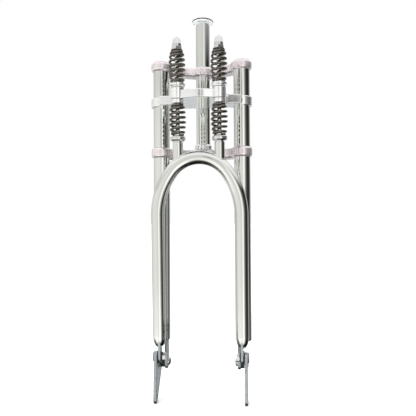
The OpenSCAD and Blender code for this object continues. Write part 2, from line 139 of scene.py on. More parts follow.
def range_node(tree, value, start, end, low=0, high=1):
    """A value that runs from start to end, made to run from low to high."""
    made = tree.nodes.new("ShaderNodeMapRange")
    for name, number in (("From Min", start), ("From Max", end), ("To Min", low), ("To Max", high)):
        made.inputs[name].default_value = number
    tree.links.new(value, made.inputs["Value"])
    return made.outputs["Result"]


def mix_node(tree, kind, factor, first, second):
    """Mix of two colours; the factor and the colours are sockets or numbers."""
    made = tree.nodes.new("ShaderNodeMix")
    made.data_type = "RGBA"
    made.blend_type = kind
    for name, value in (("Factor", factor), ("A", first), ("B", second)):
        socket = made.inputs[name]
        if isinstance(value, (int, float)):
            socket.default_value = value if name == "Factor" else (value, value, value, 1)
        else:
            tree.links.new(value, socket)
    return made.outputs["Result"]


def studio_world():
    """Pale studio that the polished metal mirrors, with dark ground and a dark stand round the camera. The
    camera itself sees plain white."""
    world = bpy.data.worlds.new("studio")
    bpy.context.scene.world = world
    world.use_nodes = True
    tree = world.node_tree
    nodes, links = tree.nodes, tree.links
    nodes.clear()
    direction = nodes.new("ShaderNodeSeparateXYZ")
    links.new(nodes.new("ShaderNodeTexCoord").outputs["Generated"], direction.inputs[0])
    x, y, z = direction.outputs
    front = math_node(tree, "MULTIPLY", y, -1)
    angle = math_node(tree, "ARCTAN2", x, front)
    around = math_node(tree, "MULTIPLY_ADD", angle, 1 / math.tau, 0.5)
    rise = math_node(tree, "ARCSINE", z)
    upward = math_node(tree, "MULTIPLY_ADD", rise, 1 / math.pi, 0.5)
    walls = ramp(nodes, [(0.5 + a / 360, v * (COOL if abs(a) > BACK_WALL else WARM)) for a, v in WALLS])
    levels, stand, stand_levels = (
        ramp(nodes, [(0.5 + a / whole, (v, v, v)) for a, v in stops])
        for stops, whole in ((HEIGHTS, 180), (STAND, 360), (STAND_HEIGHTS, 180)))
    for source, target in ((around, walls), (upward, levels), (around, stand), (upward, stand_levels)):
        links.new(source, target.inputs[0])
    hidden = math_node(tree, "MULTIPLY", stand.outputs[0], stand_levels.outputs[0])
    down = range_node(tree, z, *GROUND_DOWN)
    back = range_node(tree, y, *GROUND_BACK)
    ground = math_node(tree, "MULTIPLY", down, back)
    upper = range_node(tree, z, *PANEL_TOP)
    lit = mix_node(tree, "MIX", upper, walls.outputs[0], UPPER_WALL)
    lit = mix_node(tree, "MULTIPLY", 1, lit, levels.outputs[0])
    for shade, darkness in ((hidden, STAND_DARKNESS), (ground, GROUND_DARKNESS)):
        lit = mix_node(tree, "MIX", math_node(tree, "MULTIPLY", shade, darkness), lit, 0)
    camera_ray = nodes.new("ShaderNodeLightPath").outputs["Is Camera Ray"]
    background = nodes.new("ShaderNodeBackground")
    links.new(mix_node(tree, "MIX", camera_ray, lit, 1), background.inputs["Color"])
    links.new(background.outputs[0], nodes.new("ShaderNodeOutputWorld").inputs["Surface"])


def lamp(name, kind, energy, place):
    """Lamp at a place in metres, aimed at the lower crown, where the origin is."""
    made = bpy.data.objects.new(name, bpy.data.lights.new(name, kind))
    made.data.energy = energy
    bpy.context.collection.objects.link(made)
    place = Vector(place)
    made.matrix_world = Matrix.Translation(place) @ place.to_track_quat("Z", "Y").to_matrix().to_4x4()
    return made


def lamps():
    """Broad light from above, a soft panel high at the front and a small one beside it. The metal mirrors the
    studio walls, not the lamps."""
    overhead = lamp("overhead", "SUN", energy=2.6, place=(0, 0, 3))
    overhead.data.angle = math.radians(80)
    front = lamp("front_panel", "AREA", energy=20, place=(-0.9, -1.8, 1.5))
    front.data.size = 1.2
    key = lamp("key", "AREA", energy=9, place=(-0.35, -1.1, 1.05))
    key.data.size = 0.5
    for source in (overhead, front, key):
        source.visible_glossy = False


def floor():
    """Plain pale floor at the height of the fork's lowest point."""
    mesh = bpy.data.meshes.new("floor")
    signs = ((-1, -1), (1, -1), (1, 1), (-1, 1))
    mesh.from_pydata([(FLOOR_HALF * x, FLOOR_HALF * y, cad_box[0][2]) for x, y in signs], [], [(0, 1, 2, 3)])
    made = bpy.data.objects.new("floor", mesh)
    bpy.context.collection.objects.link(made)
    look = Look("pale_floor", (0.9, 0.9, 0.9), 0, 0.7)
    look.color(look.noise(300), (0.89, 0.89, 0.89), (0.91, 0.91, 0.905))
    mesh.materials.append(look.material)
    made.visible_glossy = False


# -------- materials

def ramp(nodes, stops):
    """Colour ramp through (position, colour) stops."""
    made = nodes.new("ShaderNodeValToRGB")
    elements = made.color_ramp.elements
    while len(elements) < len(stops):
        elements.new(0.5)
    for element, (position, color) in zip(elements, stops):
        element.position = position
        element.color = (*color, 1)
    return made


class Look:
    """A procedural material, built step by step around one Principled shader."""

    def __init__(self, name, color, metallic, roughness, **levels):
        self.material = bpy.data.materials.new(name)
        self.material.use_nodes = True
        self.tree = self.material.node_tree
        self.nodes, self.links = self.tree.nodes, self.tree.links
        self.shader = self.nodes["Principled BSDF"]
        self.shader.inputs["Base Color"].default_value = (*color, 1)
        self.shader.inputs["Metallic"].default_value = metallic
        self.shader.inputs["Roughness"].default_value = roughness
        for level, value in levels.items():
            self.shader.inputs[level.replace("_", " ")].default_value = value
        self.place = self.nodes.new("ShaderNodeTexCoord").outputs["Object"]
        self.last_bump = None

    def scaled(self, size, stretch=(1, 1, 1)):
        """Place on the object in units of a size in millimetres, drawn out along the axes by the stretch."""
        mapping = self.nodes.new("ShaderNodeMapping")
        mapping.inputs["Scale"].default_value = [1 / (size * MM * s) for s in stretch]
        self.links.new(self.place, mapping.inputs["Vector"])
        return mapping.outputs[0]

    def noise(self, size, stretch=(1, 1, 1), detail=4, roughness=0.55, warp=0):
        """Noise with features of a size in millimetres."""
        made = self.nodes.new("ShaderNodeTexNoise")
        made.inputs["Scale"].default_value = 1
        made.inputs["Detail"].default_value = detail
        made.inputs["Roughness"].default_value = roughness
        made.inputs["Distortion"].default_value = warp
        self.links.new(self.scaled(size, stretch), made.inputs["Vector"])
        return made.outputs["Fac"]

    def cells(self, size):
        """Grain boundaries of a size in millimetres."""
        made = self.nodes.new("ShaderNodeTexVoronoi")
        made.inputs["Scale"].default_value = 1
        self.links.new(self.scaled(size), made.inputs["Vector"])
        return made.outputs["Distance"]

    def remap(self, value, low, high, start=0.3, end=0.7):
        """range_node() with the usual limits of a noise."""
        return range_node(self.tree, value, start, end, low, high)

    def color(self, value, first, second):
        """Base colour between two colours, by a value."""
        made = ramp(self.nodes, [(0.3, first), (0.7, second)])
        self.links.new(value, made.inputs[0])
        self.links.new(made.outputs[0], self.shader.inputs["Base Color"])

    def roughness(self, value):
        """Roughness that follows a value."""
        self.links.new(value, self.shader.inputs["Roughness"])

    def worn(self, marks, haze, dulling, depth, strength):
        """Roughness of a haze, with scratches that dull it and are cut into the surface."""
        dulled = math_node(self.tree, "MULTIPLY", marks, dulling)
        self.roughness(math_node(self.tree, "ADD", haze, dulled))
        self.bump(marks, depth, strength)

    def bump(self, height, depth, strength):
        """Relief of a depth in millimetres, laid over the relief before it."""
        made = self.nodes.new("ShaderNodeBump")
        made.inputs["Strength"].default_value = strength
        made.inputs["Distance"].default_value = depth * MM
        self.links.new(height, made.inputs["Height"])
        if self.last_bump:
            self.links.new(self.last_bump, made.inputs["Normal"])
        self.last_bump = made.outputs["Normal"]
        self.links.new(self.last_bump, self.shader.inputs["Normal"])

    def scratches(self, width, length, share):
        """Fine lines along Z and across it: 1 in a scratch, 0 beside it."""
        ratio = length / width
        along, across = (
            self.remap(self.noise(width, stretch, 1, 0.5, 0.3), 0, 1, 1 - share, 1)
            for stretch in ((1, 1, ratio), (ratio, ratio, 1)))
        return math_node(self.tree, "MAXIMUM", along, across)


def chrome():
    """Mirror chrome with a light haze and hairline scratches."""
    look = Look("chrome_plate", (0.87, 0.875, 0.85), 1, 0.04)
    look.color(look.noise(60, detail=3), (0.85, 0.86, 0.835), (0.89, 0.9, 0.87))
    haze = look.remap(look.noise(22, (1, 1, 2), 6), 0.02, 0.055)
    look.worn(look.scratches(0.25, 9, 0.22), haze, 0.08, 0.003, 0.1)
    return look.material


def polished_alloy():
    """Satin aluminium with a faint pink cast and a fine grain."""
    look = Look("polished_aluminium", (0.83, 0.755, 0.78), 0.8, 0.24)
    look.color(look.noise(14, detail=5), (0.79, 0.715, 0.74), (0.865, 0.79, 0.815))
    look.roughness(look.remap(look.noise(5, detail=6), 0.19, 0.27))
    look.bump(look.noise(0.18, (30, 1, 1), 3), 0.006, 0.08)
    look.bump(look.noise(3, detail=2), 0.02, 0.05)
    return look.material


def bright_alloy():
    """White, brightly polished aluminium."""
    look = Look("mirror_aluminium", (0.97, 0.975, 0.97), 0.9, 0.1)
    look.color(look.noise(30, detail=3), (0.955, 0.96, 0.955), (0.985, 0.99, 0.985))
    haze = look.remap(look.noise(9, (1, 1, 2), 5), 0.07, 0.13)
    look.worn(look.scratches(0.2, 7, 0.22), haze, 0.08, 0.003, 0.1)
    return look.material


def chrome_fasteners():
    """Chromed nuts and bolts, more scratched than the tubes."""
    look = Look("bright_fastener", (0.9, 0.9, 0.9), 1, 0.1)
    look.color(look.noise(5), (0.84, 0.845, 0.85), (0.93, 0.93, 0.925))
    haze = look.remap(look.noise(2.5, detail=5), 0.07, 0.16)
    look.worn(look.scratches(0.15, 3, 0.3), haze, 0.15, 0.005, 0.2)
    return look.material


def black_spring_steel():
    """Dark glossy finish of the springs, with a slight orange peel."""
    look = Look("black_spring_paint", (0.16, 0.15, 0.13), 0.92, 0.2)
    look.color(look.noise(4, detail=6), (0.12, 0.113, 0.1), (0.22, 0.205, 0.175))
    look.roughness(look.remap(look.noise(1.5, detail=5), 0.12, 0.24))
    look.bump(look.noise(0.9, detail=2), 0.02, 0.2)
    return look.material


def zinc_plate():
    """Grey zinc plate with a spangle and fine rolling lines."""
    look = Look("zinc_plate", (0.5, 0.54, 0.56), 1, 0.35)
    look.color(look.noise(6, detail=6), (0.4, 0.45, 0.48), (0.62, 0.65, 0.66))
    look.roughness(look.remap(look.cells(1.8), 0.26, 0.42, 0, 0.8))
    look.bump(look.noise(0.2, (1, 1, 12), 3), 0.01, 0.2)
    look.bump(look.cells(1.8), 0.01, 0.1)
    return look.material


def black_nylon():
    """Matt black plastic."""
    look = Look("black_nylon", (0.02, 0.02, 0.022), 0, 0.5)
    look.color(look.noise(3), (0.012, 0.012, 0.013), (0.035, 0.035, 0.037))
    look.roughness(look.remap(look.noise(0.8), 0.42, 0.6))
    look.bump(look.noise(0.25, detail=2), 0.02, 0.3)
    return look.material


def white_nylon():
    """Pale, slightly translucent plastic."""
    look = Look("white_nylon", (0.88, 0.88, 0.87), 0, 0.4, Subsurface_Weight=0.1)
    look.color(look.noise(4), (0.86, 0.86, 0.85), (0.92, 0.92, 0.91))
    look.roughness(look.remap(look.noise(0.8), 0.34, 0.5))
    look.bump(look.noise(0.3, detail=2), 0.015, 0.2)
    return look.material


def cap_plastic():
    """Black moulded plastic, smoother than the nylon."""
    look = Look("black_cap", (0.02, 0.018, 0.02), 0, 0.3)
    look.color(look.noise(6), (0.012, 0.01, 0.012), (0.04, 0.035, 0.04))
    look.roughness(look.remap(look.noise(2, detail=5), 0.22, 0.4))
    look.bump(look.noise(0.3, detail=2), 0.015, 0.25)
    return look.material


def bronze():
    """Porous sintered bronze."""
    look = Look("sintered_bronze", (0.5, 0.34, 0.17), 1, 0.35)
    look.color(look.noise(1.2, detail=6), (0.38, 0.25, 0.12), (0.6, 0.43, 0.24))
    look.roughness(look.remap(look.noise(0.5), 0.28, 0.48))
    look.bump(look.cells(0.35), 0.01, 0.3)
    return look.material


# Each material under the name of its slot
MATERIALS = {make.__name__: make() for make in (
    chrome, polished_alloy, bright_alloy, chrome_fasteners, black_spring_steel, zinc_plate, black_nylon,
    white_nylon, cap_plastic, bronze,
)}


# -------- shapes as (vertices, faces)

def neighbours(items):
    """Each item of a closed loop, between the one before it and the one after it."""
    return zip(items[-1:] + items[:-1], items, items[1:] + items[:1])


def rounded(corners, steps=5):
    """Closed outline through (x, y, radius) corners, each rounded off with an arc of that radius."""
    outline = []
    for before, corner, after in neighbours(corners):
        point, radius = Vector(corner[:2]), corner[2]
        if not radius:
            outline.append(tuple(point))
            continue
        back = (Vector(before[:2]) - point).normalized()
        ahead = (Vector(after[:2]) - point).normalized()
        half = back.angle(ahead) / 2
        centre = point + (back + ahead).normalized() * radius / math.sin(half)
        reach = radius / math.tan(half)
        first, last = point + back * reach - centre, point + ahead * reach - centre
        for i in range(steps + 1):
            outline.append(tuple(centre + first.slerp(last, i / steps).normalized() * radius))
    return outline


def arc(x, y, radius, start, end, steps):
    """Points along an arc between two angles in degrees."""
    angles = [math.radians(start + (end - start) * i / steps) for i in range(steps + 1)]
    return [(x + radius * math.cos(a), y + radius * math.sin(a)) for a in angles]


def circle(x, y, radius):
    """Closed outline of a circle."""
    return arc(x, y, radius, 0, 360, AROUND)[:-1]


def hexagon(angle):
    """How much farther a hexagon's side is at an angle than at its middle."""
    return 1 / math.cos((angle + math.pi / 6) % (math.pi / 3) - math.pi / 6)


def turned(profile, solid=False):
    """Shape turned about Z through (radius, height) points. A solid one closes on the axis and not around a
    bore. A third value makes a ring hexagonal, with that slope down to the hexagon's corners."""
    vertices, faces, rings = [], [], []
    for radius, height, *slope in profile:
        count = AROUND if radius else 1
        rings.append([len(vertices) + i % count for i in range(AROUND)])
        for i in range(count):
            angle = math.tau * i / AROUND
            reach = radius * hexagon(angle) if slope else radius
            drop = slope[0] * (reach - radius) if slope else 0
            vertices.append((reach * math.cos(angle), reach * math.sin(angle), height - drop))
    for low, high in zip(rings, rings[1:] + ([] if solid else rings[:1])):
        for i in range(AROUND):
            j = (i + 1) % AROUND
            face = tuple(dict.fromkeys((low[i], low[j], high[j], high[i])))
            if len(face) > 2:
                faces.append(face)
    return vertices, faces


def inset(outline, distance):
    """An outline moved to the left of its own direction."""
    moved = []
    for before, point, after in neighbours(outline):
        arriving, leaving = (point - before).normalized(), (after - point).normalized()
        normal = Vector((-arriving.y - leaving.y, arriving.x + leaving.x)).normalized()
        square = max(0.5, normal.dot(Vector((-arriving.y, arriving.x))))
        moved.append(point + normal * distance / square)
    return moved


def plate(low, high, *outlines, steps=4):
    """Plate between two heights. Each outline is (points, radius of its edges): the rim, then the holes."""
    vertices, faces, bottom, top = [], [], [], []
    for number, (outline, edge) in enumerate(outlines):
        points = [Vector(p) for p in outline]
        if number:
            points.reverse()
        bends = [math.pi / 2 * i / steps for i in range(steps + 1)]
        levels = [(edge * (1 - math.sin(b)), low + edge * (1 - math.cos(b))) for b in bends]
        levels += [(back, low + high - height) for back, height in reversed(levels)]
        start, count = len(vertices), len(points)
        for back, height in levels:
            vertices += [(p.x, p.y, height) for p in inset(points, back)]
        for level in range(len(levels) - 1):
            for i in range(count):
                a, b = (start + level * count + k for k in (i, (i + 1) % count))
                faces.append((a, b, b + count, a + count))
        bottom.append(range(start, start + count))
        top.append(range(len(vertices) - count, len(vertices)))
    for loops in (bottom, top):
        order = [i for loop in loops for i in loop]
        corners = [[Vector(vertices[i]) for i in loop] for loop in loops]
        faces += [tuple(order[i] for i in triangle) for triangle in tessellate_polygon(corners)]
    return vertices, faces


def swept(path, radii, reference, sides=32, closed=False):
    """Round bar along a path, with a radius at each point and no twist about the reference direction."""
    vertices, faces = [], []
    last = len(path) - 1
    for i, (point, radius) in enumerate(zip(path, radii)):
        ahead = path[(i + 1) % len(path)] if closed else path[min(i + 1, last)]
        behind = path[i - 1] if closed or i else path[0]
        along = (ahead - behind).normalized()
        first = reference.cross(along).normalized()
        second = along.cross(first)
        for k in range(sides):
            angle = math.tau * k / sides
            vertices.append(point + (first * math.cos(angle) + second * math.sin(angle)) * radius)
    rings = len(path) if closed else last
    for i in range(rings):
        for k in range(sides):
            a, b = i * sides + k, i * sides + (k + 1) % sides
            c, d = (n + sides if i < last else n - last * sides for n in (b, a))
            faces.append((a, b, c, d))
    if not closed:
        faces.append(tuple(range(sides)))
        faces.append(tuple(last * sides + k for k in reversed(range(sides))))
    return vertices, faces


# -------- pieces

def span(node, axes=Matrix()):
    """Lowest and highest corners of a CAD node in millimetres, along the given axes."""
    turned_back = axes.inverted()
    points = [turned_back @ v.co for v in frame["nodes"][node].data.vertices]
    return [Vector([pick(p[i] for p in points) for i in range(3)]) / MM for pick in (min, max)]


def sides_of(node):
    """Distances of a CAD node's inner and outer sides from the middle plane."""
    return sorted(abs(corner.x) for corner in span(node))


def leaning_axes():
    """Axes of the front hoop: Z runs up the spring rods, from an origin level with the frame's."""
    axis = next(joint["axis"] for joint in frame["joints"] if joint["name"] == "spring_travel")
    tilt = Matrix.Rotation(math.asin(-axis[1]), 4, "X")
    low, high = span("spring_rod_left", tilt)
    return Matrix.Translation((0, (low.y + high.y) / 2 / tilt[1][1] * MM, 0)) @ tilt


LEANING = leaning_axes()
UPRIGHT = Matrix()
# Turns a shape's Z to the front
FORWARDS = Matrix.Rotation(math.pi / 2, 4, "X")
# Edges that turn more than this stay sharp
STEEP = math.radians(32)


def moved(x, y, z, axes=UPRIGHT):
    """Axes moved by a distance in millimetres along their own directions."""
    return axes @ Matrix.Translation(Vector((x, y, z)) * MM)


def facing_out(side, y, z):
    """Axes for a part about a pivot: Z points outwards from the middle plane, X forwards and Y up."""
    outward = Matrix(((0, 0, side, 0), (-1, 0, 0, 0), (0, 1, 0, 0), (0, 0, 0, 1)))
    return moved(0, y, z) @ outward


def mesh_object(name, shape, axes):
    """Object made from (vertices, faces) in millimetres, with all its faces pointing outwards."""
    vertices, faces = shape
    mesh = bpy.data.meshes.new(name)
    mesh.from_pydata([axes @ (Vector(v) * MM) for v in vertices], [], faces)
    work = bmesh.new()
    work.from_mesh(mesh)
    bmesh.ops.remove_doubles(work, verts=work.verts, dist=1e-6)
    bmesh.ops.recalc_face_normals(work, faces=work.faces)
    work.to_mesh(mesh)
    work.free()
    made = bpy.data.objects.new(name, mesh)
    bpy.context.collection.objects.link(made)
    return made


def combine(main, other, operation):
    """Joins another object's solid to the main one, or cuts it away, and drops the other object."""
    step = main.modifiers.new("combine", "BOOLEAN")
    step.operation = operation
    step.solver = "EXACT"
    step.object = other
    shaped = main.evaluated_get(bpy.context.evaluated_depsgraph_get())
    mesh = bpy.data.meshes.new_from_object(shaped)
    main.modifiers.clear()
    main.data = mesh
    bpy.data.objects.remove(other)


def piece(name, shape, node, axes=UPRIGHT, joined=(), cut=(), rides=True):
    """A visible piece in the finish of the CAD node that it stands for, put on that node's body when it rides."""
    made = mesh_object(name, shape, axes)
    for operation, others in (("UNION", joined), ("DIFFERENCE", cut)):
        for other_shape, other_axes in others:
            combine(made, mesh_object(name + "_step", other_shape, other_axes), operation)
    made.data.materials.clear()
    made.data.materials.append(MATERIALS[SLOT[node]])
    made.data.shade_smooth()
    made.data.set_sharp_from_angle(angle=STEEP)
    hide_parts(node)
    if rides:
        flat = made.modifiers.new("even_shading", "WEIGHTED_NORMAL")
        flat.keep_sharp = True
        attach(made, BODY[node])
    return made


def ring(bore, radius, low, high, edge):
    """Turned ring with rounded edges."""
    return turned(rounded([(bore, low, edge), (radius, low, edge), (radius, high, edge), (bore, high, edge)]))


def disc(radius, low, high, edge):
    """Turned disc with rounded edges."""
    return turned(rounded([(0, low, 0), (radius, low, edge), (radius, high, edge), (0, high, 0)]), solid=True)


def nut(bore, across, low, high):
    """Hexagonal nut with both faces chamfered: across is half the width over its flats."""
    slope = math.tan(math.radians(30))
    chamfer, rim = 0.6, 0.2
    return turned([
        (bore + chamfer, low), (across - rim, low), (across, low + rim / 2, -slope),
        (across, high - rim / 2, slope), (across - rim, high), (bore + chamfer, high), (bore, high - chamfer),
        (bore, low + chamfer),
    ])


# ---- steerer and crowns

STEERER_BORE = 12.3
GROOVE_LOW, GROOVE_HIGH = 169.5, 170.5
GROOVE_DEPTH = 0.4
CAP_SHOULDER = 2
CAP_NECK_R = 10.5
NOTCHES = 18
RING_R = 20
BOSS_R = 22.5
BAND_W = 28
SCREW_R = 2.5
CROWN_EDGE = 5.5


def steerer():
    """Steerer tube with a shallow groove above the upper crown."""
    low, high = span("steerer_tube")
    outer, inner = high.x, high.x - GROOVE_DEPTH
    profile = rounded([
        (STEERER_BORE, low.z, 0.4), (outer, low.z, 0.6), (outer, GROOVE_LOW, 0.1), (inner, GROOVE_LOW, 0.1),
        (inner, GROOVE_HIGH, 0.1), (outer, GROOVE_HIGH, 0.1), (outer, high.z, 1.2),
        (STEERER_BORE, high.z, 0.6),
    ])
    piece("steerer", turned(profile), "steerer_tube")


def cap():
    """Plug cap whose black flange, dished round a socket, lies on a pale sealing ring."""
    low, high = span("top_cap")
    seal_low, seal_high = span("cap_seal")
    plug = STEERER_BORE - 0.1
    shoulder = span("steerer_tube")[1].z - CAP_SHOULDER
    dish_r, socket_r = 6.5, 3.2
    dish, socket = high.z - 0.9, high.z - 3
    profile = rounded([
        (0, low.z, 0), (plug, low.z, 0.8), (plug, shoulder, 0.5), (CAP_NECK_R, shoulder, 0.3),
        (CAP_NECK_R, seal_high.z, 0), (high.x, seal_high.z, 0.2), (high.x, high.z - 0.7, 0.4),
        (high.x - 1, high.z, 0.5), (dish_r + 1, high.z, 0.5), (dish_r, dish, 0.3), (socket_r, dish, 0.3),
        (socket_r, socket, 0.2), (0, socket, 0),
    ])
    piece("steerer_cap", turned(profile, solid=True), "top_cap")
    piece("cap_ring", ring(CAP_NECK_R, seal_high.x, seal_low.z, seal_high.z, 0.3), "cap_seal")


def race():
    """Bell-shaped race with notches round its foot for the puller."""
    high = span("crown_race")[1]
    bore = span("steerer_tube")[1].x
    base, foot, groove, step = high.x, 3, 4.2, 1.2
    bell_r = base - bore - 1.4
    profile = rounded([(bore, 0, 0.2), (base, 0, 0.4), (base, foot, 0.4), (base - step, foot + 0.3, 0.2),
                       (base - step, groove, 0.2)])
    bell = arc(bore + 0.6, 0, bell_r, 12, 78, 12)[1:]
    profile += [(x, groove + y / bell_r * (high.z - groove)) for x, y in bell] + [(bore, high.z)]
    across = moved(0, 0, foot / 2) @ FORWARDS
    notch = disc(1.1, base - step, base + 1, 0.2)
    notches = [(notch, Matrix.Rotation(math.tau * i / NOTCHES, 4, "Z") @ across) for i in range(NOTCHES)]
    piece("lower_race", turned(profile), "crown_race", cut=notches)


def softest(values, blend):
    """Largest of the values, with a smooth change from one to the next."""
    top = values[0]
    for value in values[1:]:
        overlap = max(blend - abs(top - value), 0) / blend
        top = max(top, value) + overlap * overlap * blend / 4
    return top


def crown_outline(leg):
    """Rim of a crown: a band bent through the steerer and both legs, with a ring on each leg and a boss."""
    bend = (leg.x ** 2 + leg.y ** 2) / (-2 * leg.y)
    spread = math.asin(leg.x / bend)
    rings = ((Vector((0, 0)), BOSS_R), (leg, RING_R), (Vector((-leg.x, leg.y)), RING_R))
    steps, blend = 120, 6

    def rim(outward):
        """One side of the band from one leg to the other, the front (-1) or the back (1)."""
        points = []
        for i in range(steps + 1):
            angle = spread * (2 * i / steps - 1)
            out = Vector((math.sin(angle), math.cos(angle)))
            start = Vector((0, -bend)) + out * bend
            reaches = [BAND_W / 2]
            for centre, radius in rings:
                away = start - centre
                across = away.dot(out) * outward
                room = radius ** 2 - away.length_squared + across ** 2
                if room > 0:
                    reaches.append(math.sqrt(room) - across)
            points.append(start + out * outward * softest(reaches, blend))
        return points

    turn = math.degrees(spread)
    right_end = arc(leg.x, leg.y, RING_R, -90 - turn, 90 - turn, 36)
    left_end = arc(-leg.x, leg.y, RING_R, 90 + turn, 270 + turn, 36)
    front = [tuple(p) for p in rim(-1)[:-1]]
    back = [tuple(p) for p in rim(1)[1:-1]]
    return front + right_end + back[::-1] + left_end[:-1]


def leg_place():
    """Middle of the left leg, seen from above, and its radius."""
    low, high = span("rear_leg_left")
    return Vector(((low.x + high.x) / 2, (low.y + high.y) / 2)), (high.x - low.x) / 2


def leg_holes(leg, leg_r):
    """Holes of a plate for both legs."""
    return [(circle(sign * leg.x, leg.y, leg_r), 0.8) for sign in (1, -1)]


def screw_holes(z):
    """Threaded holes for the set screws, at the front of both leg rings."""
    leg, leg_r = leg_place()
    return [(disc(SCREW_R + 0.02, leg_r - 1, RING_R + 1, 0.01),
             moved(sign * leg.x, leg.y, z) @ FORWARDS) for sign in (1, -1)]


def crown(node):
    """Crown with the holes for the steerer, the legs and the set screws."""
    low, high = span(node)
    leg, leg_r = leg_place()
    steerer_r = span("steerer_tube")[1].x
    holes = [(circle(0, 0, steerer_r), 0.8), *leg_holes(leg, leg_r)]
    shape = plate(low.z, high.z, (crown_outline(leg), CROWN_EDGE), *holes, steps=8)
    piece(node + "_forging", shape, node, cut=screw_holes((low.z + high.z) / 2))


# ---- perch

PERCH_H = 18
PERCH_BACK = -34
PERCH_FRONT = -70
TONGUE_X = 46
TONGUE_FRONT = -100
TONGUE_DROP = 2.5
NOSE_FRONT = -121
NOSE_R = 88
SLEEVE_R = 12.7
BALL_R = 10


def rods():
    """Distance of the rods from the middle plane, and their radius."""
    low, high = span("spring_rod_left")
    return (low.x + high.x) / 2, (high.x - low.x) / 2


def perch():
    """Perch across the legs, with a round-nosed tongue that carries the two leaning sleeves."""
    leg, leg_r = leg_place()
    rod_x, _ = rods()
    bush_low, bush_high = span("swivel_bush_left", LEANING)
    sleeve_low, sleeve_high = bush_low.z + 0.6, bush_high.z - 0.6
    bottom = span("spring_perch")[0].z
    top = bottom + PERCH_H
    lift = math.degrees(math.asin((PERCH_BACK - leg.y) / RING_R))
    right = arc(leg.x, leg.y, RING_R, -90, 180 - lift, 40)
    left = arc(-leg.x, leg.y, RING_R, lift, 270, 40)
    rim = rounded([(-leg.x, PERCH_FRONT, 3), (leg.x, PERCH_FRONT, 3)] + [(x, y, 0) for x, y in right + left])
    nose_angle = math.degrees(math.asin(rod_x / NOSE_R))
    nose = arc(0, NOSE_FRONT + NOSE_R, NOSE_R, 270 - nose_angle, 270 + nose_angle, 40)
    root = PERCH_FRONT + 8
    tongue = [(-TONGUE_X, root), (-TONGUE_X, TONGUE_FRONT), *nose, (TONGUE_X, TONGUE_FRONT), (TONGUE_X, root)]
    both_rods = [moved(side * rod_x, 0, 0, LEANING) for side in (1, -1)]
    sleeves = [(disc(SLEEVE_R, sleeve_low, sleeve_high, 1.2), axes) for axes in both_rods]
    bores = [(disc(BALL_R, sleeve_low - 5, sleeve_high + 5, 0.5), axes) for axes in both_rods]
    piece("perch_casting", plate(bottom, top, (rim, 2), *leg_holes(leg, leg_r)), "spring_perch",
          joined=[(plate(bottom, top - TONGUE_DROP, (tongue, 1.6)), UPRIGHT)] + sleeves,
          cut=bores + screw_holes((bottom + top) / 2))


def set_screws():
    """Set screws with a small socket, flush with the front of each leg ring."""
    leg, leg_r = leg_place()
    heights = [sum(c.z for c in span(node)) / 2 for node in ("lower_crown", "upper_crown")]
    heights.append(span("spring_perch")[0].z + PERCH_H / 2)
    socket = 1
    flush = RING_R - 0.05
    profile = [(0, leg_r), (SCREW_R, leg_r), (SCREW_R, flush - 0.1), (SCREW_R - 0.1, flush),
               (socket + 0.2, flush), (socket, flush - 0.1, 0), (socket, flush - 0.9, 0), (0, flush - 1)]
    shape = turned(profile, solid=True)
    for level, height in zip(("lower", "upper", "perch"), heights):
        for name, side in SIDES.items():
            piece(f"set_screw_{level}_{name}", shape, "set_screws",
                  moved(side * leg.x, leg.y, height) @ FORWARDS)


# ---- rear legs

DROPOUT_R = 10.5
DROPOUT_INNER, DROPOUT_OUTER = 68, 74
PIVOT_R = 5


def rear_legs():
    """Straight tubes, each with a plug in its top and a dropout at its foot."""
    leg, leg_r = leg_place()
    bore = leg_r - 2
    plug_low, plug_high = span("leg_plugs")
    for name, side in SIDES.items():
        low, high = span(f"rear_leg_{name}")
        tube = rounded([(bore, low.z, 0.5), (leg_r, low.z, 0.9), (leg_r, high.z, 0.8), (bore, high.z, 0.5)])
        piece(f"rear_tube_{name}", turned(tube), f"rear_leg_{name}", moved(side * leg.x, leg.y, 0))
        plug = [(0, plug_low.z), (bore, plug_low.z), (bore, plug_high.z - 0.6), (bore - 1, plug_high.z),
                (bore - 3, plug_high.z - 0.3), (bore - 3.5, plug_high.z - 1), (0, plug_high.z - 1)]
        piece(f"leg_plug_{name}", turned(plug, solid=True), "leg_plugs", moved(side * leg.x, leg.y, 0))
        dropout(name, side, leg, bore, low.z)


def dropout(name, side, leg, bore, leg_bottom):
    """Disc in the end of the leg, welded to the plate that carries the rear pivot."""
    node = f"rear_dropout_{name}"
    pivot_z = rear_pivot().z
    end, top = span(node)[0].z + DROPOUT_R - pivot_z, leg_bottom + 3 - pivot_z
    outline = arc(0, end, DROPOUT_R, 180, 360, 32) + [(DROPOUT_R, top), (-DROPOUT_R, top)]
    shape = plate(DROPOUT_INNER, DROPOUT_OUTER, (outline, 1), (circle(0, 0, PIVOT_R), 0.3))
    piece(f"dropout_{name}", shape, node, facing_out(side, leg.y, pivot_z))
    piece(f"leg_end_{name}", disc(bore, leg_bottom, leg_bottom + 5, 0.4), node, moved(side * leg.x, leg.y, 0))
    piece(f"dropout_weld_{name}", seam(DROPOUT_INNER, DROPOUT_OUTER, DROPOUT_R), node,
          Matrix.Diagonal((side, 1, 1, 1)) @ moved(0, leg.y, leg_bottom - 0.3))


def seam(inner, outer, half):
    """Weld bead round the dropout's root, where it meets the leg's end."""
    corners = rounded([(inner, -half, 1.5), (outer, -half, 1.5), (outer, half, 1.5), (inner, half, 1.5)])
    path, spacing, bead, ripple = [], 1.2, 1.1, 0.18
    for start, end in zip(corners, corners[1:] + corners[:1]):
        steps = max(1, round((Vector(end) - Vector(start)).length / spacing))
        path += [Vector(start).lerp(Vector(end), i / steps).to_3d() for i in range(steps)]
    radii = [bead + ripple * math.sin(i * 2.1) for i in range(len(path))]
    return swept(path, radii, Vector((0, 0, 1)), 12, closed=True)


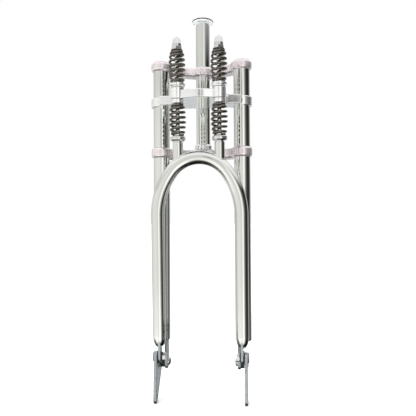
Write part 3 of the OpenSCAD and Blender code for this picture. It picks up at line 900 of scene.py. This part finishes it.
def rear_pivot():
    """Middle of the left rocker's rear pivot."""
    joint = next(j for j in frame["joints"] if j["name"] == "rocker_pivot_left")
    return Vector(joint["pos_m"]) / MM


# ---- hoop

ARCH_RISE = 106
BULLET_LENGTH = 24.5
BULLET_STEPS = 14
VENT_HEIGHT = -340
VENT_R = 1.5


def hoop_sizes():
    """Half width, height of the arch on the tube's centreline, height of the tips, and the tube's radius."""
    low, high = span("hoop", LEANING)
    radius = (high.y - low.y) / 2
    return high.x - radius, high.z - radius, low.z, radius


def arch_radii():
    """Radii of the arch's top arc and side arcs, which meet where the tube slopes 3 across to 4 up."""
    half = hoop_sizes()[0]
    top = (3 * half - ARCH_RISE) / 2
    return top, top + 5 * (half - top)


def hoop():
    """One tube: an arch over two straight legs that end in bullet tips, with a vent hole in each."""
    half, arch_top, tip, radius = hoop_sizes()
    top_r, side_r = arch_radii()
    meet = math.degrees(math.atan2(3, 4))
    base = arch_top - ARCH_RISE
    side_arc = arc(half - side_r, base, side_r, 0, meet, 24)
    top_arc = arc(0, arch_top - top_r, top_r, meet, 90, 24)
    straight = 8
    leg = [(half, tip + BULLET_LENGTH + (base - tip - BULLET_LENGTH) * i / straight) for i in range(straight)]
    bends = [math.pi / 2 * i / BULLET_STEPS for i in range(BULLET_STEPS)]
    bullet = [(half, tip + BULLET_LENGTH * (1 - math.sin(b))) for b in bends]
    bullet_radii = [radius * math.cos(b) for b in bends]
    one_side = bullet[:0:-1] + leg + side_arc + top_arc[1:]
    radii = bullet_radii[:0:-1] + [radius] * (len(leg) + len(side_arc) + len(top_arc) - 1)
    path = [Vector((x, 0, z)) for x, z in one_side] + [Vector((-x, 0, z)) for x, z in one_side[-2::-1]]
    path = [Vector((half, 0, tip))] + path + [Vector((-half, 0, tip))]
    point_r = 0.3
    radii = [point_r] + radii + radii[-2::-1] + [point_r]
    vents = [(disc(VENT_R, -4, 4, 0.2), moved(side * (half - radius), 0, VENT_HEIGHT, LEANING)
              @ Matrix.Rotation(math.pi / 2, 4, "Y")) for side in (1, -1)]
    piece("hoop_tube", swept(path, radii, Vector((0, 1, 0)), 64), "hoop", LEANING, cut=vents)


def hoop_surface(x, y):
    """Height of the top of the arch's tube above a point near its middle."""
    _, arch_top, _, radius = hoop_sizes()
    top_r, _ = arch_radii()
    return arch_top - top_r + math.sqrt((top_r + math.sqrt(radius ** 2 - y ** 2)) ** 2 - x ** 2)


def posts():
    """Posts welded on the arch, each with a bead along the joint."""
    rod_x, rod_r = rods()
    bead, ripple, ripples = 1.2, 0.15, 24
    for name, side in SIDES.items():
        node = f"post_{name}"
        low, high = span(node, LEANING)
        post_r = (high.y - low.y) / 2
        tube = [(rod_r, low.z, 0.3), (post_r, low.z, 0.3), (post_r, high.z, 0.8), (rod_r, high.z, 0.3)]
        piece(f"spring_post_{name}", turned(rounded(tube)), node, moved(side * rod_x, 0, 0, LEANING))
        path, radii = [], []
        for i in range(AROUND):
            angle = math.tau * i / AROUND
            x, y = side * rod_x + post_r * math.cos(angle), post_r * math.sin(angle)
            path.append(Vector((x, y, hoop_surface(x, y))))
            radii.append(bead + ripple * math.sin(ripples * angle))
        piece(f"post_weld_{name}", swept(path, radii, Vector((0, 0, 1)), 12, closed=True), node, LEANING)


def tabs():
    """Plates at the ends of the hoop that hang on the front pivots."""
    hole_r = 4.8
    for name, side in SIDES.items():
        node = f"hoop_tab_{name}"
        low, high = span(node, LEANING)
        radius = (high.y - low.y) / 2
        pivot = low.z + radius
        outline = arc(0, 0, radius, 180, 360, 32) + [(radius, high.z - pivot), (-radius, high.z - pivot)]
        inner, outer = sides_of(node)
        shape = plate(inner, outer, (outline, 0.8), (circle(0, 0, hole_r), 0.3))
        piece(f"tab_{name}", shape, node, LEANING @ facing_out(side, 0, pivot))


# ---- springs

WIRE = 4.5
TURNS = 7
SPRING_END_R = 23.5 / 2
RINGS_PER_TURN = 40
BARREL_POWER = 0.7
# What reaches into the springs from the seats, cups and retainers
SPIGOT_H = 4
SPIGOT_R = SPRING_END_R - WIRE - 0.4


def coil(low, high, widest):
    """Barrel spring between two heights, with one closed turn at each end."""
    closed = WIRE + 0.15
    pitch = (high - low - WIRE - 2 * closed) / (TURNS - 2)
    path = []
    for i in range(TURNS * RINGS_PER_TURN + 1):
        turn = i / RINGS_PER_TURN
        height = min(turn, 1) * closed + max(0, min(turn - 1, TURNS - 2)) * pitch
        height += max(0, turn - TURNS + 1) * closed
        swell = max(0, math.sin(math.pi * turn / TURNS)) ** BARREL_POWER
        radius = SPRING_END_R + (widest - SPRING_END_R) * swell - WIRE / 2
        angle = math.tau * turn
        path.append(Vector((radius * math.cos(angle), radius * math.sin(angle), low + WIRE / 2 + height)))
    return swept(path, [WIRE / 2] * len(path), Vector((0, 0, 1)), 20)


def springs():
    """Four springs, each stretched or squeezed between the perch's side and the moving fork's."""
    rod_x, _ = rods()
    for name, side in SIDES.items():
        for level in ("lower", "upper"):
            node = f"{level}_spring_{name}"
            low, high = span(node, LEANING)
            made = piece(f"{level}_coil_{name}", coil(low.z, high.z, (high.x - low.x) / 2), node,
                         moved(side * rod_x, 0, 0, LEANING), rides=False)
            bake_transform(made)


def spring_stack():
    """Everything turned about the two spring rods, from the seats on the posts up to the acorn nuts."""
    rod_x, rod_r = rods()
    for name, side in SIDES.items():
        axes = moved(side * rod_x, 0, 0, LEANING)
        low, high = span(f"spring_rod_{name}", LEANING)
        rod = rounded([(0, low.z, 0), (rod_r, low.z, 0.5), (rod_r, high.z, 0.8), (0, high.z, 0)])
        piece(f"rod_{name}", turned(rod, solid=True), f"spring_rod_{name}", axes)
        seat(name, axes, rod_r)
        cups(name, axes, rod_r)
        bush(name, axes, rod_r)
        top_nuts(name, axes, rod_r)


def seat(name, axes, rod_r):
    """Turned knob with full round edges on a short neck."""
    low, high = span(f"spring_seat_{name}", LEANING)
    radius = (high.x - low.x) / 2
    neck, neck_h, groove, slant = 8, 2, 0.7, 2.4
    base, top = low.z + neck_h, high.z - SPIGOT_H
    middle = (base + top) / 2
    profile = rounded([
        (rod_r, low.z, 0.2), (neck, low.z, 0.4), (neck, base, 0.3), (radius - slant, base, 0.6),
        (radius, base + slant, 2.2), (radius, middle - groove, 0.3), (radius - groove, middle, 0.3),
        (radius, middle + groove, 0.3), (radius, top - slant, 2.2), (radius - slant, top, 0.6),
        (SPIGOT_R, top, 0.3), (SPIGOT_R, high.z, 0.7), (rod_r, high.z, 0.2),
    ])
    piece(f"seat_{name}", turned(profile), f"spring_seat_{name}", axes)


def cups(name, axes, rod_r):
    """Turned cups on the perch that hold the springs, above and below it."""
    low, high = span(f"upper_cup_{name}", LEANING)
    radius = (high.x - low.x) / 2
    neck, top = radius - 2, high.z - SPIGOT_H
    dish = top - 0.8
    profile = rounded([
        (rod_r, low.z, 0.2), (neck, low.z, 0.5), (neck, low.z + 2, 0.4), (radius, low.z + 3.2, 0.5),
        (radius, top, 0.9), (radius - 2.2, top, 0.3), (radius - 2.6, dish, 0.3), (SPIGOT_R, dish, 0.3),
        (SPIGOT_R, high.z, 0.8), (rod_r, high.z, 0.3),
    ])
    piece(f"cup_upper_{name}", turned(profile), f"upper_cup_{name}", axes)
    low, high = span(f"lower_cup_{name}", LEANING)
    radius = (high.x - low.x) / 2
    bottom = low.z + SPIGOT_H
    dish, groove = bottom + 0.5, (bottom + high.z) / 2
    profile = rounded([
        (rod_r, low.z, 0.3), (SPIGOT_R, low.z, 0.8), (SPIGOT_R, dish, 0.3), (radius - 2.4, dish, 0.3),
        (radius - 2, bottom, 0.3), (radius, bottom, 0.8), (radius, groove - 0.5, 0.4),
        (radius - 0.9, groove, 0.3), (radius, groove + 0.5, 0.4), (radius, high.z, 0.8), (rod_r, high.z, 0.2),
    ])
    piece(f"cup_lower_{name}", turned(profile), f"lower_cup_{name}", axes)


def bush(name, axes, rod_r):
    """Ball in the perch's sleeve, with a collar above and below."""
    low, high = span(f"swivel_bush_{name}", LEANING)
    collar, chamfer = 8, 0.4
    middle, half = (low.z + high.z) / 2, math.degrees(math.acos(collar / BALL_R))
    ball = [(x, middle + y) for x, y in arc(0, 0, BALL_R, -half, half, 24)]
    profile = [(rod_r, low.z), (collar - chamfer, low.z), (collar, low.z + chamfer)] + ball
    profile += [(collar, high.z - chamfer), (collar - chamfer, high.z), (rod_r, high.z)]
    piece(f"ball_bush_{name}", turned(profile), f"swivel_bush_{name}", axes)


def top_nuts(name, axes, rod_r):
    """Flanged retainer, jam nut and acorn nut at the top of a rod."""
    low, high = span("top_retainers", LEANING)
    radius = (high.x - low.x) / 2 - rods()[0]
    seat_z = low.z + SPIGOT_H
    piece(f"retainer_{name}", turned(rounded([
        (rod_r, low.z, 0.2), (SPIGOT_R, low.z, 0.7), (SPIGOT_R, seat_z, 0.3), (radius, seat_z, 0.5),
        (radius, high.z, 0.8), (rod_r, high.z, 0.2),
    ])), "top_retainers", axes)
    low, high = span("jam_nuts", LEANING)
    across = (high.y - low.y) / 2
    piece(f"jam_nut_{name}", nut(rod_r, across, low.z, high.z), "jam_nuts", axes)
    low, high = span("acorn_nuts", LEANING)
    radius = (high.y - low.y) / 2
    tip_r, skirt, groove_r = 7, 5, radius - 0.8
    rod_top = span(f"spring_rod_{name}", LEANING)[1].z
    waist = low.z + skirt
    profile = [
        (0, rod_top), (rod_r, rod_top), (rod_r, low.z), (radius - 0.5, low.z), (radius, low.z + 0.5),
        (radius, waist - 1.4), (groove_r, waist - 0.9), (groove_r, waist - 0.4), (radius - 0.2, waist),
    ]
    profile += arc(0, high.z - tip_r, tip_r, 8, 90, 20)[:-1] + [(0, high.z)]
    piece(f"acorn_{name}", turned(profile, solid=True), "acorn_nuts", axes)


# ---- rockers and pivots

AXLE_HOLE_R = 5
ROCKER_R = 10
BUSH_R = 7
FRONT_BOLT_R = 4
FRONT_NUT_CORNER = 7.5


def front_pivot():
    """Middle of the front pivots, seen from the side."""
    low, high = span("front_nut_left")
    return Vector((0, (low.y + high.y) / 2, (low.z + high.z) / 2))


def axle():
    """Middle of the wheel axle at the left rocker."""
    mount = next(m for m in RECORD["mounts"] if m["name"] == "axle_left")
    return Vector(mount["pos_m"]) / MM


def rocker_outline(corners):
    """Rim of the rocker: a triangle with round corners, drawn with X forwards and Y up."""
    outline = []
    for before, corner, after in neighbours(corners):
        arriving, leaving = corner - before, after - corner
        start = math.degrees(math.atan2(arriving.y, arriving.x)) - 90
        end = math.degrees(math.atan2(leaving.y, leaving.x)) - 90
        outline += arc(corner.x, corner.y, ROCKER_R, start, start + (end - start) % 360, 24)
    return outline


def rockers():
    """Triangular plates that link the rear pivots, the front pivots and the wheel axle, with their bolts."""
    rear, front, wheel = rear_pivot(), front_pivot(), axle()
    corners = [Vector((-(p.y - rear.y), p.z - rear.z)) for p in (rear, wheel, front)]
    radii, edges = (BUSH_R, AXLE_HOLE_R, FRONT_BOLT_R), (0.3, 0.6, 0.3)
    holes = [(circle(*corner, radius), edge) for corner, radius, edge in zip(corners, radii, edges)]
    for name, side in SIDES.items():
        node = f"rocker_{name}"
        inner, outer = sides_of(node)
        shape = plate(inner, outer, (rocker_outline(corners), 1.1), *holes)
        axes = facing_out(side, rear.y, rear.z)
        piece(f"rocker_plate_{name}", shape, node, axes)
        rear_joint(name, axes, inner, outer)
        front_joint(name, facing_out(side, front.y, front.z), outer)


def rear_joint(name, axes, inner, outer):
    """Bush in the rocker, spacer beside it, low-headed bolt, and domed nut inside the dropout."""
    bush_ring = ring(PIVOT_R + 0.05, BUSH_R, inner, outer, 0.2)
    piece(f"pivot_bush_{name}", bush_ring, f"rocker_bush_{name}", axes)
    low, high = span(f"rear_spacer_{name}")
    spacer = ring(PIVOT_R, (high.y - low.y) / 2, DROPOUT_OUTER, inner - 0.3, 0.6)
    piece(f"pivot_spacer_{name}", spacer, f"rear_spacer_{name}", axes)
    shank, head = DROPOUT_INNER - 4, outer + 0.3
    head_r, socket_r, chamfer = 9, 2.9, 0.4
    bolt = [
        (0, shank), (PIVOT_R - chamfer, shank), (PIVOT_R, shank + chamfer), (PIVOT_R, head),
        (head_r - 0.3, head), (head_r, head + 0.3), (head_r, head + 0.9), (head_r - 0.8, head + 1.5),
        (socket_r + 0.5, head + 1.5), (socket_r, head + 1.3, 0), (socket_r, head - 1, 0), (0, head - 1.4),
    ]
    piece(f"pivot_bolt_{name}", turned(bolt, solid=True), "rear_pivot_bolts", axes)
    nut_r, dome_r, foot, tip = 8, 10, DROPOUT_INNER, DROPOUT_INNER - 6
    bore_end = tip + 1.5
    dome = arc(0, 0, dome_r, 90, math.degrees(math.acos(nut_r / dome_r)), 16)[1:]
    domed = [(0, tip)] + [(x, tip + dome_r - y) for x, y in dome]
    domed += [(nut_r, foot - 0.3), (nut_r - 0.3, foot), (PIVOT_R, foot), (PIVOT_R, bore_end), (0, bore_end)]
    piece(f"pivot_dome_{name}", turned(domed, solid=True), "rear_pivot_nuts", axes)


def front_joint(name, axes, outer):
    """Bolt with a broad low head, its nut, and the washers on both sides of the tab."""
    nut_in, nut_out = sides_of(f"front_nut_{name}")
    head_r, socket_r, chamfer = 9.5, 3.1, 0.6
    bolt = [
        (0, nut_in), (FRONT_BOLT_R - chamfer, nut_in), (FRONT_BOLT_R, nut_in + chamfer),
        (FRONT_BOLT_R, outer), (head_r - 0.5, outer), (head_r, outer + 0.5), (head_r, outer + 1.2),
        (head_r - 1.2, outer + 2.6), (head_r - 2.7, outer + 3), (socket_r + 0.5, outer + 3),
        (socket_r, outer + 2.8, 0), (socket_r, outer + 0.4, 0), (0, outer),
    ]
    piece(f"front_bolt_{name}", turned(bolt, solid=True), f"front_pivot_bolt_{name}", axes)
    flats = FRONT_NUT_CORNER * math.cos(math.pi / 6)
    piece(f"front_hex_{name}", nut(FRONT_BOLT_R, flats, nut_in, nut_out), f"front_nut_{name}", axes)
    for part in ("front_washer", "inner_washer"):
        node = f"{part}_{name}"
        low, high = span(node)
        washer = ring(FRONT_BOLT_R, (high.y - low.y) / 2, *sides_of(node), 0.4)
        piece(f"{part}_ring_{name}", washer, node, axes)


camera()
studio_world()
lamps()
floor()
steerer()
cap()
race()
crown("lower_crown")
crown("upper_crown")
perch()
set_screws()
rear_legs()
hoop()
posts()
tabs()
springs()
spring_stack()
rockers()
# Plain colours, as in the photograph
bpy.context.scene.view_settings.view_transform = "Standard"
